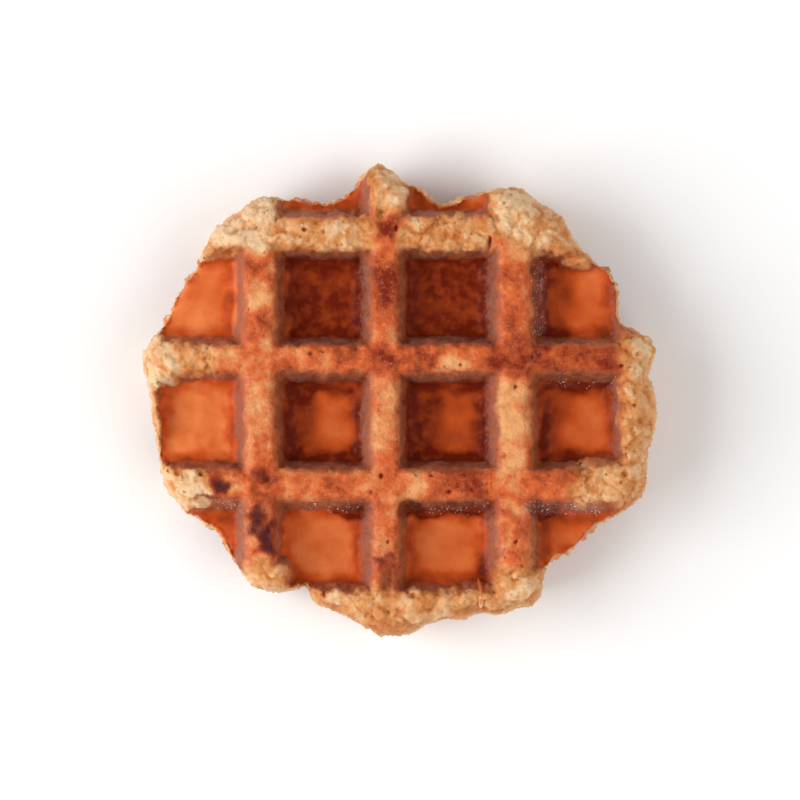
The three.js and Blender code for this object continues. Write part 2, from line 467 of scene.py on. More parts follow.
def face_height(inset):
    """Height of the blank's face above its middle plane, that far inside the rim."""
    out = 1 - np.clip(inset / RIM_ROUND_IN, 0, 1)
    return MIDDLE - RIM_ROUND_HEIGHT * (1 - np.sqrt(1 - out * out))


def side_steps():
    """Insets and heights of the rings that go down the side, between the two faces' edges."""
    start = math.asin(1 - RIM_MARGIN / RIM_ROUND_IN)
    band = MIDDLE - RIM_ROUND_HEIGHT
    arc = (math.pi / 2 - start) * RIM_ROUND_HEIGHT
    arc_steps = np.linspace(start, math.pi / 2, round(arc / RING_STEP) + 1)[1:]
    upper = [
        (RIM_ROUND_IN * (1 - math.sin(turn)), band + RIM_ROUND_HEIGHT * math.cos(turn))
        for turn in arc_steps
    ]
    flat = [(0.0, z) for z in np.linspace(band, -band, round(2 * band / RING_STEP) + 1)[1:-1]]
    return upper + flat + [(inset, -z) for inset, z in reversed(upper)]


def dough_blank(cell):
    """The closed blank, as points and quads, in millimetres."""
    rim = Rim()
    plan, quads, edge = face_grid(rim, cell / MM)
    height = face_height(rim.inset(plan[:, 0], plan[:, 1]))
    upper = np.column_stack([plan, MIDDLE + height])
    lower = np.column_stack([plan, MIDDLE - height])
    points, faces = [upper, lower], [quads, quads[:, ::-1] + len(plan)]
    above = edge
    bearing = np.arctan2(plan[edge, 1], plan[edge, 0])
    steps = side_steps()
    for ring, (inset, z) in enumerate(steps):
        x, y = rim.place(bearing, inset)
        points.append(np.column_stack([x, y, np.full(len(x), MIDDLE + z)]))
        below = 2 * len(plan) + ring * len(edge) + np.arange(len(edge))
        faces.append(band_of_quads(above, below))
        above = below
    faces.append(band_of_quads(above, edge + len(plan)))
    return np.concatenate(points), np.concatenate(faces), rim


def band_of_quads(above, below):
    """Quads between two rings of as many points, facing outwards."""
    return np.stack([above, below, np.roll(below, -1), np.roll(above, -1)], -1)


# ---------------------------------------------------------------------------------------------
# What the baking did where.
# ---------------------------------------------------------------------------------------------


def cover(patch, x, y):
    """How much a patch covers each point, from 0 to 1."""
    across = smoothstep(patch.half_x + patch.fade, patch.half_x - patch.fade / 2, np.abs(x - patch.x))
    along = smoothstep(patch.half_y + patch.fade, patch.half_y - patch.fade / 2, np.abs(y - patch.y))
    return across * along


def painted(patches, x, y, elsewhere):
    """A value over the plan, where each patch paints over the ones before it."""
    value = np.full(len(x), elsewhere)
    for patch in patches:
        value += (patch.value - value) * cover(patch, x, y)
    return value


def piled(patches, x, y):
    """A value over the plan that is the strongest of its patches."""
    return np.max([patch.value * cover(patch, x, y) for patch in patches], axis=0)


def noise_over(points, seed):
    """Smooth noise at each point, from about -1 to 1."""
    apart = Vector([step * seed for step in NOISE_STEP])
    return np.array([smooth_noise(Vector(point) / STRAY_SIZE + apart) for point in points.tolist()])


def baking(points, rim):
    """The fields that the trees and the crust's material read, by name."""
    x, y, z = points.T
    upper = z >= MIDDLE
    turned_x = np.where(upper, x, 2 * LATTICE_MIDDLE[0] - x)
    turned_y = np.where(upper, y, 2 * LATTICE_MIDDLE[1] - y)
    inset = rim.inset(x, y)
    side = smoothstep(*SIDE_INSETS, inset)
    x, y, turned_x, turned_y = (
        place + STRAY * noise_over(points, seed) for seed, place in enumerate((x, y, turned_x, turned_y))
    )
    pale = piled(PALE, x, y)
    return {
        "lobe": piled(LOBES, *points.T[:2]),
        "pale": np.maximum(pale, SIDE_PALENESS * side),
        "rim": side,
        "tone": painted(TONES, turned_x, turned_y, TONE_ELSEWHERE),
        "bake": painted(BAKES, turned_x, turned_y, BAKE_ELSEWHERE),
        "scorch": np.where(upper, piled(SCORCHES, x, y), 0),
        "sugar": np.where(upper, piled(SUGARS, *points.T[:2]), 0),
        "pit": np.where(upper, piled(PITS, *points.T[:2]), 0),
        "nubs": smoothstep(*NUB_PALENESS, pale) * smoothstep(*NUB_HEIGHTS, z),
    }


# ---------------------------------------------------------------------------------------------
# Node trees.
# ---------------------------------------------------------------------------------------------

GEOMETRY = "NodeSocketGeometry"
NUMBER = "NodeSocketFloat"
COUNT = "NodeSocketInt"
MATERIAL = "NodeSocketMaterial"
MATH = "ShaderNodeMath"
VECTOR_MATH = "ShaderNodeVectorMath"
SPAN = "ShaderNodeMapRange"
NOISE = "ShaderNodeTexNoise"
CELLS = "ShaderNodeTexVoronoi"
MIX = "ShaderNodeMix"
STORE = "GeometryNodeStoreNamedAttribute"
RANDOM = "FunctionNodeRandomValue"
SMOOTH = {"interpolation_type": "SMOOTHSTEP"}
COLOUR_A, COLOUR_B, COLOUR_MIXED = 6, 7, 2  # the colour sockets of a Mix node
NUMBER_A, NUMBER_B = 2, 3  # its number sockets
RANDOM_LOW, RANDOM_HIGH, RANDOM_RESULT = 2, 3, 1  # the number sockets of a Random Value node


def add(tree, kind, values=(), out=0, **settings):
    """Adds a node, applies its settings, fills or links its inputs, and gives one output.

    The inputs are given in order, or under their names or numbers.
    """
    made = tree.nodes.new(kind)
    for name, value in settings.items():
        setattr(made, name, value)
    given = values.items() if isinstance(values, dict) else enumerate(values)
    for key, value in given:
        if isinstance(value, bpy.types.NodeSocket):
            tree.links.new(value, made.inputs[key])
        else:
            made.inputs[key].default_value = value
    if out is None:
        return made.outputs
    return made.outputs[out] if made.outputs else None


def new_tree(name, inputs, outputs=None):
    """A Geometry Nodes tree with named sockets, and its inputs by name."""
    tree = bpy.data.node_groups.new(name, "GeometryNodeTree")
    for label, kind in inputs.items():
        tree.interface.new_socket(label, in_out="INPUT", socket_type=kind)
    for label, kind in (outputs or {"Geometry": GEOMETRY}).items():
        tree.interface.new_socket(label, in_out="OUTPUT", socket_type=kind)
    given = add(tree, "NodeGroupInput", out=None)
    return tree, {label: given[label] for label in inputs}


def applied(piece, modifier):
    """Keeps what a modifier makes of a piece as the piece's mesh, and removes the modifier."""
    seen = bpy.context.evaluated_depsgraph_get()
    result = piece.evaluated_get(seen)
    mesh = bpy.data.meshes.new_from_object(result, preserve_all_data_layers=True, depsgraph=seen)
    piece.modifiers.remove(modifier)
    piece.data = mesh


def run_tree(piece, tree, values):
    """Runs a tree over a piece with its named inputs set, and keeps what comes out as its mesh."""
    modifier = piece.modifiers.new(tree.name, "NODES")
    modifier.node_group = tree
    for item in tree.interface.items_tree:
        if item.item_type == "SOCKET" and item.in_out == "INPUT" and item.name in values:
            modifier[item.identifier] = values[item.name]
    applied(piece, modifier)


def finish_tree(tree, geometry, material):
    """Realizes what a tree made, gives it its material and sends it out."""
    real = add(tree, "GeometryNodeRealizeInstances", (geometry,))
    coloured = add(tree, "GeometryNodeSetMaterial", {"Geometry": real, "Material": material})
    add(tree, "NodeGroupOutput", {"Geometry": coloured})


def named(tree, *names):
    """The fields of those names that the geometry carries."""
    return [add(tree, "GeometryNodeInputNamedAttribute", {"Name": name}) for name in names]


def strayed(tree, place, width, amount):
    """A place that a noise of some width moves by up to about half an amount."""
    scale = add(tree, MATH, (1.0, width), operation="DIVIDE")
    noise = add(tree, NOISE, {"Vector": place, "Scale": scale, "Detail": 2.5}, out="Color")
    centred = add(tree, VECTOR_MATH, (noise, (0.5, 0.5, 0.5)), operation="SUBTRACT")
    offset = add(tree, VECTOR_MATH, {0: centred, "Scale": amount}, operation="SCALE")
    return add(tree, VECTOR_MATH, (place, offset), operation="ADD")


def holes_in_cells(tree, place, scale, odds, edge):
    """Round holes in some cells of a pattern: 1 in a hole and 0 elsewhere."""
    cells = add(tree, CELLS, {"Vector": place, "Scale": scale}, out=None)
    rare = add(tree, SPAN, {"Value": cells["Color"]} | odds)
    hole = add(tree, SPAN, {"Value": cells["Distance"]} | edge, **SMOOTH)
    return add(tree, MATH, (hole, rare), operation="MULTIPLY")


# How the iron's print is rounded. Lengths are in millimetres, and the rest are shares of a
# ridge's height.
SHOULDER = 2.0  # 1 would leave a ridge's shoulder as sharp as its foot, and more rounds it
CORNER_ROUNDING = 0.4  # where two ridges meet
LOBE_ROUNDING = 0.2  # where a ridge meets dough that ran out of the lattice
FLOOR_TOP = 0.1  # what stands lower than this is floor
FLOOR_RISE = 0.6  # how far a floor curves up to the feet of its walls
FLOOR_CURVE = 3.0  # the more, the nearer to the walls it begins to
WAVER_WIDTH = 2.6  # length of the short waves in the ridges' edges
SWELL_WIDTH = 8.0  # length of the rise and dip along a ridge

# What the iron reads off the property group, by the names of the tree's inputs.
PRESS_SIZES = ("Web", "Wander", "Wander width", "Waver", "Ragged", "Sag", "Dip", "Softness", "Reach")


def ridge_tree():
    """One ridge, at a place across it: its height, from 0 at its feet to 1 on its crest, and how
    near its feet are, from 0 on the floor of the pocket to 1."""
    inputs = {"Across": NUMBER, "Low foot": NUMBER, "Low crest": NUMBER}
    inputs |= {"High crest": NUMBER, "High foot": NUMBER, "Reach": NUMBER}
    tree, given = new_tree("Ridge", inputs, {"Height": NUMBER, "Nearness": NUMBER})
    slopes, flanks = [], []
    for foot, crest, outwards in (("Low foot", "Low crest", -1.0), ("High foot", "High crest", 1.0)):
        ends = {"Value": given["Across"], "From Min": given[foot], "From Max": given[crest]}
        slopes.append(add(tree, SPAN, ends, **SMOOTH))
        far = add(tree, MATH, (given["Reach"], outwards, given[foot]), operation="MULTIPLY_ADD")
        ends = {"Value": given["Across"], "From Min": far, "From Max": given[foot]}
        flanks.append(add(tree, SPAN, ends))
    slope = add(tree, MATH, (slopes[0], slopes[1]), operation="MINIMUM")
    # The shoulder is rounder than the foot.
    lack = add(tree, MATH, (1.0, slope), operation="SUBTRACT")
    lack = add(tree, MATH, (lack, SHOULDER), operation="POWER")
    height = add(tree, MATH, (1.0, lack), operation="SUBTRACT")
    nearness = add(tree, MATH, (flanks[0], flanks[1]), operation="MINIMUM")
    add(tree, "NodeGroupOutput", {"Height": height, "Nearness": nearness})
    return tree


def press_tree():
    """The iron: it presses the lattice into both faces of the blank."""
    inputs = {"Geometry": GEOMETRY, "Crust": MATERIAL, "Middle": NUMBER}
    tree, given = new_tree("Press the lattice", inputs | dict.fromkeys(PRESS_SIZES, NUMBER))
    place = add(tree, "GeometryNodeInputPosition")
    lobe, pale = named(tree, "lobe", "pale")
    height, nearness = lattice(tree, given, place, lobe, pale)
    pressed = pressed_place(tree, given, place, height, nearness, pale)
    geometry = add(tree, "GeometryNodeSetPosition", {"Geometry": given["Geometry"], "Position": pressed})
    for name, value in (("ridge", height), ("near", nearness)):
        geometry = add(tree, STORE, {"Geometry": geometry, "Name": name, "Value": value})
    finish_tree(tree, geometry, given["Crust"])
    return tree


def lattice(tree, given, place, lobe, pale):
    """How high the iron lets a point stand, from 0 on a pocket's floor to 1 on a crest, and how
    near a wall is, from 0 to 1."""
    ragged = add(tree, MATH, (pale, given["Ragged"], given["Waver"]), operation="MULTIPLY_ADD")
    across = strayed(tree, place, given["Wander width"], given["Wander"])
    across = strayed(tree, across, WAVER_WIDTH * MM, ragged)
    across = add(tree, "ShaderNodeSeparateXYZ", (across,), out=None)
    ridge = ridge_tree()
    nearness = lobe
    heights = {}
    for axis, ridges in (("X", RIDGES_ALONG_Y), ("Y", RIDGES_ALONG_X)):
        heights[axis] = 0.0
        for one in ridges:
            values = {"Across": across[axis], "Reach": given["Reach"]}
            values |= {end.replace("_", " ").capitalize(): at * MM for end, at in one._asdict().items()}
            risen = add(tree, "GeometryNodeGroup", values, out=None, node_tree=ridge)
            heights[axis] = add(tree, MATH, (heights[axis], risen["Height"]), operation="MAXIMUM")
            nearness = add(tree, MATH, (nearness, risen["Nearness"]), operation="MAXIMUM")
    height = add(tree, MATH, (heights["X"], heights["Y"], CORNER_ROUNDING), operation="SMOOTH_MAX")
    height = add(tree, MATH, (height, lobe, LOBE_ROUNDING), operation="SMOOTH_MAX")
    return add(tree, SPAN, {"Value": height, "From Min": FLOOR_TOP}), nearness


def pressed_place(tree, given, place, height, nearness, pale):
    """Each point of the blank, brought down to the iron where the iron is lower."""
    x, y, z = add(tree, "ShaderNodeSeparateXYZ", (place,), out=None)
    above = add(tree, MATH, (z, given["Middle"]), operation="SUBTRACT")
    side = add(tree, MATH, (above,), operation="SIGN")
    away = add(tree, MATH, (above,), operation="ABSOLUTE")
    half_web = add(tree, MATH, (given["Web"], 0.5), operation="MULTIPLY")
    iron = add(tree, SPAN, {"Value": height, "To Min": half_web, "To Max": given["Middle"]})
    # The floor curves up a little towards the walls.
    fillet = add(tree, MATH, (nearness, FLOOR_CURVE), operation="POWER")
    iron = add(tree, MATH, (fillet, FLOOR_RISE * MM, iron), operation="MULTIPLY_ADD")
    # Ridges rise and dip along their length, and pale dough never filled the iron.
    swell = add(tree, NOISE, {"Vector": place, "Scale": 1 / (SWELL_WIDTH * MM), "Detail": 1.0})
    low = add(tree, MATH, (swell, given["Sag"]), operation="MULTIPLY")
    low = add(tree, MATH, (pale, given["Dip"], low), operation="MULTIPLY_ADD")
    low = add(tree, MATH, (low, height), operation="MULTIPLY")
    iron = add(tree, MATH, (iron, low), operation="SUBTRACT")
    kept = add(tree, MATH, (away, iron, given["Softness"]), operation="SMOOTH_MIN")
    z = add(tree, MATH, (kept, side, given["Middle"]), operation="MULTIPLY_ADD")
    return add(tree, "ShaderNodeCombineXYZ", {"X": x, "Y": y, "Z": z})


# What the relief reads off the property group, by the names of the tree's inputs.
RELIEF_SIZES = ("Fold", "Fold width", "Blister", "Blister width", "Hole", "Hole spacing")

# Folds on folds of pale dough: widths and heights, as shares of the broadest folds'.
FOLDS = ((1.0, 0.9), (0.48, 0.55), (0.22, 0.42))
FOLD_SHARPNESS = 0.6  # below 1, the creases between them are sharp and their backs are flat
FOLD_MIDDLE = 0.25
FOLD_TWIST, FOLD_TWIST_WIDTH = 7.0, 4.0  # how far folds stray, and over what length, in millimetres
CRUMBLY = {"From Min": 0.1, "From Max": 0.7}  # from dough that never folded to dough that did
WEB_FOLDS = 0.3  # how high folds stand on the thin web between the pockets, as a share

# How much of the crust's unevenness stands on floors, walls and crests, and how much more on the
# torn rim of a pocket's floor. Folds take the place of some of it. Last is where on a ridge, from
# 0 at its foot to 1 on its crest, one of these turns into the next.
FLOOR_BLISTERS, WALL_BLISTERS, CREST_BLISTERS, RIM_BLISTERS = 0.25, 1.3, 0.9, 3.6
FOLDS_REPLACE = 0.6
FLOOR_TO_WALL = {"From Max": 0.35}
WALL_TO_CREST = {"From Min": 0.6}
TORN_TO_WALL = {"From Max": 0.5}

# Which cells hold a small hole, how wide it is as a share of their spacing, and where the floors,
# which have none, end. The cells are bent by so many millimetres, over such a length.
HOLE_ODDS = {"From Min": 0.5, "From Max": 0.7}
HOLE_EDGE = {"From Min": 0.2, "From Max": 0.06}
OFF_FLOOR = {"From Min": 0.3, "From Max": 0.7}
HOLE_BEND, HOLE_BEND_WIDTH = 0.8, 1.5


def relief_tree():
    """The crumb: folds of pale dough, the unevenness of the crust, and small holes."""
    inputs = {"Geometry": GEOMETRY, "Crust": MATERIAL, "Floor": NUMBER, "Ceiling": NUMBER}
    tree, given = new_tree("Raise the crumb", inputs | dict.fromkeys(RELIEF_SIZES, NUMBER))
    place = add(tree, "GeometryNodeInputPosition")
    pale, ridge, rim = named(tree, "pale", "ridge", "rim")
    thick = add(tree, SPAN, {"Value": ridge, "To Min": WEB_FOLDS})
    crumbly = add(tree, SPAN, {"Value": pale} | CRUMBLY, **SMOOTH)
    crumbly = add(tree, MATH, (crumbly, thick), operation="MULTIPLY")
    folds = folds_of_dough(tree, given, strayed(tree, place, FOLD_TWIST_WIDTH * MM, FOLD_TWIST * MM))
    total = add(tree, MATH, (folds, crumbly), operation="MULTIPLY")
    scale = add(tree, MATH, (1.0, given["Blister width"]), operation="DIVIDE")
    blister = add(tree, NOISE, {"Vector": place, "Scale": scale, "Detail": 2.0})
    blister = add(tree, MATH, (blister, 0.5), operation="SUBTRACT")
    blister = add(tree, MATH, (blister, given["Blister"]), operation="MULTIPLY")
    share = blister_share(tree, ridge, rim, crumbly)
    total = add(tree, MATH, (blister, share, total), operation="MULTIPLY_ADD")
    hole = small_holes(tree, given, place, ridge)
    depth = add(tree, MATH, (hole, given["Hole"]), operation="MULTIPLY")
    total = add(tree, MATH, (total, depth), operation="SUBTRACT")
    normal = add(tree, "GeometryNodeInputNormal")
    offset = add(tree, VECTOR_MATH, {0: normal, "Scale": total}, operation="SCALE")
    geometry = add(tree, "GeometryNodeSetPosition", {"Geometry": given["Geometry"], "Offset": offset})
    geometry = levelled(tree, geometry, given["Floor"], given["Ceiling"])
    for name, value in (("relief", total), ("hole", hole)):
        geometry = add(tree, STORE, {"Geometry": geometry, "Name": name, "Value": value})
    finish_tree(tree, geometry, given["Crust"])
    return tree


def blister_share(tree, ridge, rim, crumbly):
    """How much of the crust's unevenness stands where, by height, torn rim and folds."""
    rising = {"Value": ridge, "To Min": FLOOR_BLISTERS, "To Max": WALL_BLISTERS} | FLOOR_TO_WALL
    cresting = {"Value": ridge, "To Max": WALL_BLISTERS - CREST_BLISTERS} | WALL_TO_CREST
    share = add(tree, MATH, (add(tree, SPAN, rising), add(tree, SPAN, cresting)), operation="SUBTRACT")
    torn = add(tree, SPAN, {"Value": ridge, "To Min": RIM_BLISTERS, "To Max": 0.0} | TORN_TO_WALL)
    share = add(tree, MATH, (rim, torn, share), operation="MULTIPLY_ADD")
    spared = add(tree, MATH, (crumbly, -FOLDS_REPLACE, 1.0), operation="MULTIPLY_ADD")
    return add(tree, MATH, (share, spared), operation="MULTIPLY")


def folds_of_dough(tree, given, place):
    """Height of dough that wrinkled as it rose: rounded folds with sharp creases between them."""
    total = 0.0
    for width, height in FOLDS:
        wide = add(tree, MATH, (given["Fold width"], width), operation="MULTIPLY")
        scale = add(tree, MATH, (1.0, wide), operation="DIVIDE")
        wave = add(tree, NOISE, {"Vector": place, "Scale": scale, "Detail": 0.0})
        wave = add(tree, MATH, (wave, 0.5), operation="SUBTRACT")
        wave = add(tree, MATH, (wave,), operation="ABSOLUTE")
        wave = add(tree, MATH, (wave, FOLD_SHARPNESS), operation="POWER")
        wave = add(tree, MATH, (wave, FOLD_MIDDLE), operation="SUBTRACT")
        wave = add(tree, MATH, (wave, height), operation="MULTIPLY")
        total = add(tree, MATH, (wave, given["Fold"], total), operation="MULTIPLY_ADD")
    return total


def small_holes(tree, given, place, ridge):
    """Where small holes opened, off the floors of the pockets: 1 in a hole and 0 elsewhere."""
    scale = add(tree, MATH, (1.0, given["Hole spacing"]), operation="DIVIDE")
    place = strayed(tree, place, HOLE_BEND_WIDTH * MM, HOLE_BEND * MM)
    hole = holes_in_cells(tree, place, scale, HOLE_ODDS, HOLE_EDGE)
    off_floor = add(tree, SPAN, {"Value": ridge} | OFF_FLOOR)
    hole = add(tree, MATH, (hole, off_floor), operation="MULTIPLY")
    return add(tree, MATH, (hole, named(tree, "pit")[0]), operation="MAXIMUM")


def levelled(tree, geometry, floor, ceiling):
    """Keeps the crust between the plane it rests on and a height above it."""
    x, y, z = add(tree, "ShaderNodeSeparateXYZ", (add(tree, "GeometryNodeInputPosition"),), out=None)
    z = add(tree, "ShaderNodeClamp", (z, floor, ceiling))
    place = add(tree, "ShaderNodeCombineXYZ", {"X": x, "Y": y, "Z": z})
    return add(tree, "GeometryNodeSetPosition", {"Geometry": geometry, "Position": place})


def crystal_shape(tree):
    """A sugar crystal one metre wide, before it is scaled."""
    return add(tree, "GeometryNodeMeshIcoSphere", {"Radius": 0.5, "Subdivisions": 1})


def nub_shape(tree):
    """A nub of crumb one metre wide, before it is scaled."""
    return add(tree, "GeometryNodeMeshUVSphere", {"Segments": 7, "Rings": 5, "Radius": 0.5})


CLUMPS = {"From Min": 0.42, "From Max": 0.6}  # from where no grain lies to where they are thickest
CLUMP_WIDTH = 2.2  # millimetres
SMALLEST_GRAIN = 0.2  # as a share of the largest
SLIMMEST_GRAIN = 0.4  # along one axis, as a share of its full size
GRAIN_BEND_WIDTH = 0.8  # millimetres


def scatter_tree(name, shape, field, smooth):
    """Grains of one shape over the crust, thickest where a field is 1."""
    inputs = {"Geometry": GEOMETRY, "Material": MATERIAL, "Seed": COUNT}
    tree, given = new_tree(name, inputs | {"Width": NUMBER, "Spacing": NUMBER})
    density = add(tree, MATH, (given["Spacing"], -2.0), operation="POWER")
    density = add(tree, MATH, (named(tree, field)[0], density), operation="MULTIPLY")
    place = add(tree, "GeometryNodeInputPosition")
    clump = add(tree, NOISE, {"Vector": place, "Scale": 1 / (CLUMP_WIDTH * MM)})
    clump = add(tree, SPAN, {"Value": clump} | CLUMPS)
    density = add(tree, MATH, (density, clump), operation="MULTIPLY")
    points = {"Mesh": given["Geometry"], "Density": density, "Seed": given["Seed"]}
    points = add(tree, "GeometryNodeDistributePointsOnFaces", points)
    turn = {0: (0.0, 0.0, 0.0), 1: (math.tau, math.tau, math.tau), "Seed": given["Seed"]}
    turn = add(tree, RANDOM, turn, data_type="FLOAT_VECTOR")
    form = {0: (SLIMMEST_GRAIN,) * 3, 1: (1.0, 1.0, 1.0), "Seed": given["Seed"]}
    form = add(tree, RANDOM, form, data_type="FLOAT_VECTOR")
    size = {RANDOM_LOW: SMALLEST_GRAIN, RANDOM_HIGH: 1.0, "Seed": given["Seed"]}
    size = add(tree, RANDOM, size, out=RANDOM_RESULT, data_type="FLOAT")
    size = add(tree, MATH, (size, given["Width"]), operation="MULTIPLY")
    form = add(tree, VECTOR_MATH, {0: form, "Scale": size}, operation="SCALE")
    grains = {"Points": points, "Instance": shape(tree), "Rotation": turn, "Scale": form}
    grains = add(tree, "GeometryNodeInstanceOnPoints", grains)
    grains = add(tree, "GeometryNodeRealizeInstances", (grains,))
    # No two grains are alike, because each is pushed out of shape where it lies.
    place = strayed(tree, place, GRAIN_BEND_WIDTH * MM, given["Width"])
    grains = add(tree, "GeometryNodeSetPosition", {"Geometry": grains, "Position": place})
    grains = add(tree, "GeometryNodeSetShadeSmooth", {"Geometry": grains, "Shade Smooth": smooth})
    finish_tree(tree, grains, given["Material"])
    return tree


# ---------------------------------------------------------------------------------------------
# Materials.
# ---------------------------------------------------------------------------------------------

# Widths in millimetres, detail and roughness of the noises that colour the crust.
CRUST_NOISES = {
    "blotch": (5.5, 1.5, 0.45),
    "mottle": (2.2, 2.5, 0.5),
    "fleck": (1.9, 1.0, 0.5),
    "grain": (0.9, 4.0, 0.6),
    "glint": (0.6, 2.0, 0.5),
}

# How far those noises sway the values that the material reads.
SWAYS = {
    "crumb": {"mottle": 0.9, "blotch": 0.8},
    "burnt": {"mottle": 0.55, "grain": 0.25},
    "near": {"blotch": 1.0, "mottle": 0.5},
    "frost": {"mottle": 3.0, "grain": 1.5},
    # bloom: how noises break up the painted sheen on the walls that face -X.
    "bloom": {"mottle": 1.2, "grain": 2.4},
    "roughness": {"mottle": 0.5, "grain": 0.4},
}

# The fields of the mesh that the material reads.
FIELDS = ("ridge", "near", "rim", "pale", "tone", "bake", "relief", "hole", "scorch", "sugar")

# Pores are too small for the mesh: their spacing in millimetres, which cells hold one, and how
# wide it is as a share of that spacing.
PORE_SPACING = 1.7
PORE_ODDS = {"From Min": 0.6, "From Max": 0.9}
PORE_EDGE = {"From Min": 0.26, "From Max": 0.08}

# How pale the thin web between the pockets may be, how pale it is where its rim is torn, and
# from where to where dough counts as crumb.
WEB_PALENESS = {"From Min": 0.05, "From Max": 0.35, "To Min": 0.3}
TORN_PALENESS = {"From Min": 0.8, "To Max": 0.6}
CRUMB_PALENESS = {"From Min": 0.15, "From Max": 0.65}

# Each zone's colours, from the least baked to the most, at places from 0 to 1, and how far the
# noises sway those places.
Zone = namedtuple("Zone", "stops sway")
ZONES = {
    "floors": Zone(
        ((0.0, "floor_bright"), (0.5, "floor_middle"), (1.0, "floor_dark")),
        {"blotch": 0.6, "mottle": 0.25, "grain": 0.08},
    ),
    "walls": Zone(((0.1, "wall_bright"), (0.9, "wall_dark")), {"mottle": 0.9, "grain": 0.3}),
    "crests": Zone(
        ((0.0, "crust_pale"), (0.48, "crust_middle"), (1.0, "crust_dark")),
        {"blotch": 1.1, "mottle": 0.85, "grain": 0.5},
    ),
    "crumbs": Zone(
        ((0.1, "crumb_pale"), (0.5, "crumb_middle"), (1.0, "crumb_dark")),
        {"blotch": 1.0, "mottle": 0.4, "grain": 0.15},
    ),
}

# What moves a zone's place, where 0 is the least baked and 1 is the most; at the walls' feet and deep in
# the crumb's folds, part of it is painted shade.
# A floor darkens near the walls, partly from browning and partly from painted shade.
FEET_BROWNING_AND_SHADE = {"From Min": 0.3, "From Max": 1.2, "To Max": 0.32}  # a floor's, by how near a wall is
# A wall's place follows its height, as painted shade that darkens it towards its foot, and also the
# floor's tone and the ridge's bake.
WALL_START = 0.12
WALL_FOLLOWS = {"ridge": -0.4, "tone": 0.5, "bake": 0.4}  # a wall's, by fields
BESIDE_PALE = -0.5  # a crest's, by how pale the dough is there
# Deep in its folds crumb is painted darker, as shade.
HIGH_FOLD, DEEP_FOLD = 0.45 * MM, -0.6 * MM  # relief of the palest and the darkest crumb
PAINTED_FOLD_SHADE = 0.65  # crumb's, between those two
PALENESS_LIGHTENS = {"From Min": 0.5, "To Min": 0.3, "To Max": -0.1}  # crumb's, by its paleness

# What lies over the floors' colour, from the lowest layer up: a zone or a colour, the value that
# it follows, from where to where it sets in, and how much of what is under it it then covers.
Layer = namedtuple("Layer", "over value low high most")
LAYERS = (
    Layer("fleck", "fleck", 0.35, 0.8, 0.4),
    Layer("walls", "ridge", 0.04, 0.3, 1.0),
    Layer("crests", "ridge", 0.64, 0.98, 1.0),
    # Painted sheen on the walls that face -X, in the frost's colour.
    Layer("frost", "bloom", 0.45, 1.35, 0.55),
    # Painted highlights: pale specks where fine sugar glints on the ridges.
    Layer("glint", "glint", 0.6, 0.74, 0.24),
    Layer("crumbs", "crumb", 0.0, 1.0, 1.0),
    # Painted shade: pores and small holes are darkened inside.
    Layer("hollow", "pore", 0.0, 1.0, 0.42),
    Layer("hollow", "hole", 0.1, 0.9, 0.9),
    # Whitish frost where the sugar's crystals show, partly a painted highlight of their wet glints.
    Layer("frost", "frost", 0.3, 1.1, 0.26),
    Layer("singe", "burnt", 0.1, 0.6, 0.85),
    Layer("scorch", "burnt", 0.4, 1.0, 1.0),
)

# Roughness and glaze from a floor's middle to its walls, and then on what lies over them.
FLOOR_ROUGHNESS = {"From Max": 0.5, "To Min": 0.34, "To Max": 0.56}
CRUMB_ROUGHNESS = 0.78
FLOOR_GLAZE = {"From Max": 0.4, "To Min": 0.15, "To Max": 0.03}
GLAZES = {"crest": 0.14, "crumb": 0.02, "sugar": 0.45}
CREST_START = 0.7

# The relief that is too fine for the mesh: what it adds to the mottle, how deep it is in
# millimetres, and how strong it is from the floors to the ridges and on crumb.
GRAIN_BUMP, PORE_BUMP = 0.6, -0.8
BUMP_DEPTH = 0.8
BUMP_STRENGTH = {"From Max": 0.4, "To Min": 0.12, "To Max": 0.8}
CRUMB_BUMP = 0.75

# Dry crust mirrors little and scatters light at its surface and just under it.
CRUST_FINISH = {
    "IOR": 1.45,
    "Specular IOR Level": 0.06,
    "Coat Roughness": 0.14,
    "Sheen Weight": 0.15,
    "Sheen Roughness": 0.4,
    "Sheen Tint": (*linear("#ffddd4"), 1),
    "Subsurface Weight": 0.06,
    "Subsurface Radius": (1.0, 0.4, 0.2),
    "Subsurface Scale": 1 * MM,
}

# The grain of the plain materials: its width in millimetres, and its dark side as a share.
GRAIN_WIDTH = 0.8
GRAIN_SHADE = 0.8


def new_material(name):
    """A material, and its node tree, which is empty."""
    material = bpy.data.materials.new(name)
    material.use_nodes = True
    material.node_tree.nodes.clear()
    return material, material.node_tree


def finish_material(tree, surface):
    """Gives a material's tree its shader and sends it out."""
    shader = add(tree, "ShaderNodeBsdfPrincipled", surface)
    add(tree, "ShaderNodeOutputMaterial", {"Surface": shader})


def swayed(tree, value, noise, sway):
    """A value that noises sway either way, each by its own amount."""
    for name, amount in sway.items():
        shift = add(tree, MATH, (noise[name], 0.5), operation="SUBTRACT")
        value = add(tree, MATH, (shift, amount, value), operation="MULTIPLY_ADD")
    return value


def crust_noises(tree, place):
    """The noises that colour the crust, by name."""
    noise = {}
    for name, (width, detail, roughness) in CRUST_NOISES.items():
        values = {"Vector": place, "Scale": 1 / (width * MM), "Detail": detail, "Roughness": roughness}
        noise[name] = add(tree, NOISE, values)
    return noise


